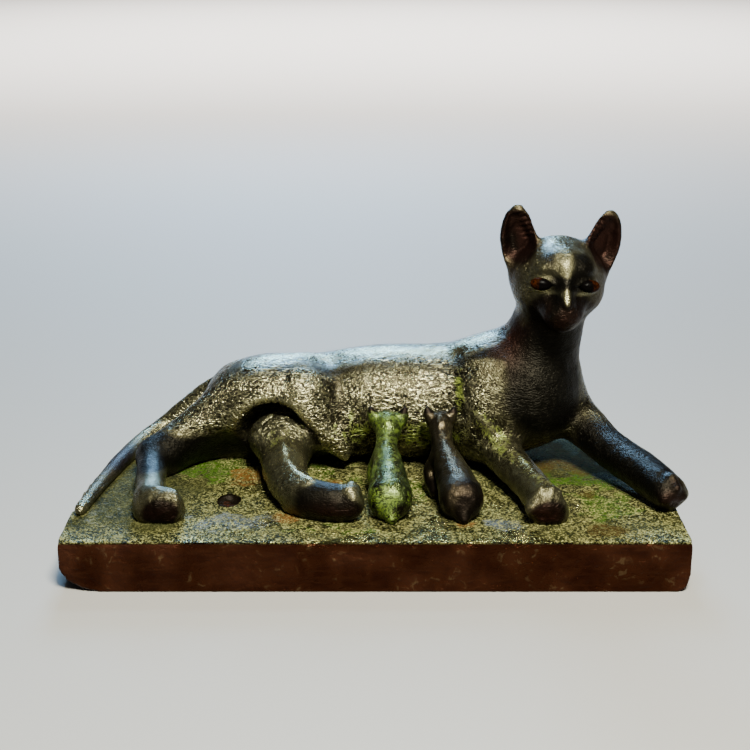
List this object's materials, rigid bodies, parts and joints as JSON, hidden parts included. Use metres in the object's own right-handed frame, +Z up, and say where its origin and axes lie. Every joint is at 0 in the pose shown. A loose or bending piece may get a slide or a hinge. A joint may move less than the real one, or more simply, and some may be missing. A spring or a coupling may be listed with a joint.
{
  "type": "bastet cat figure",
  "caption": "Bronze figure of a mother cat lying on her side and nursing kittens, on a low slab plinth, with inlaid eyes.",
  "frame": {"origin": "middle of the plinth's flat underside", "axes": "+X along the plinth towards the cat's forepaws, -Y towards the front, where her belly and the kittens are, +Z up"},
  "size_m": [0.2854, 0.1412, 0.1566],
  "materials": {
    "plinth_bronze": "dull brown patina with green and ochre corrosion",
    "cat_bronze": "rubbed dark bronze, chased fur, green in the recesses",
    "green_bronze": "dark bronze with a strong green patina",
    "brown_bronze": "rubbed brown bronze",
    "eye_inlay": "polished amber inlay with a dark pupil"
  },
  "bodies": {
    "root": {"plinth": "plinth_bronze", "mother_cat": "cat_bronze", "left_kitten": "green_bronze", "right_kitten": "brown_bronze", "left_eye": "eye_inlay", "right_eye": "eye_inlay"}
  },
  "joints": []
}
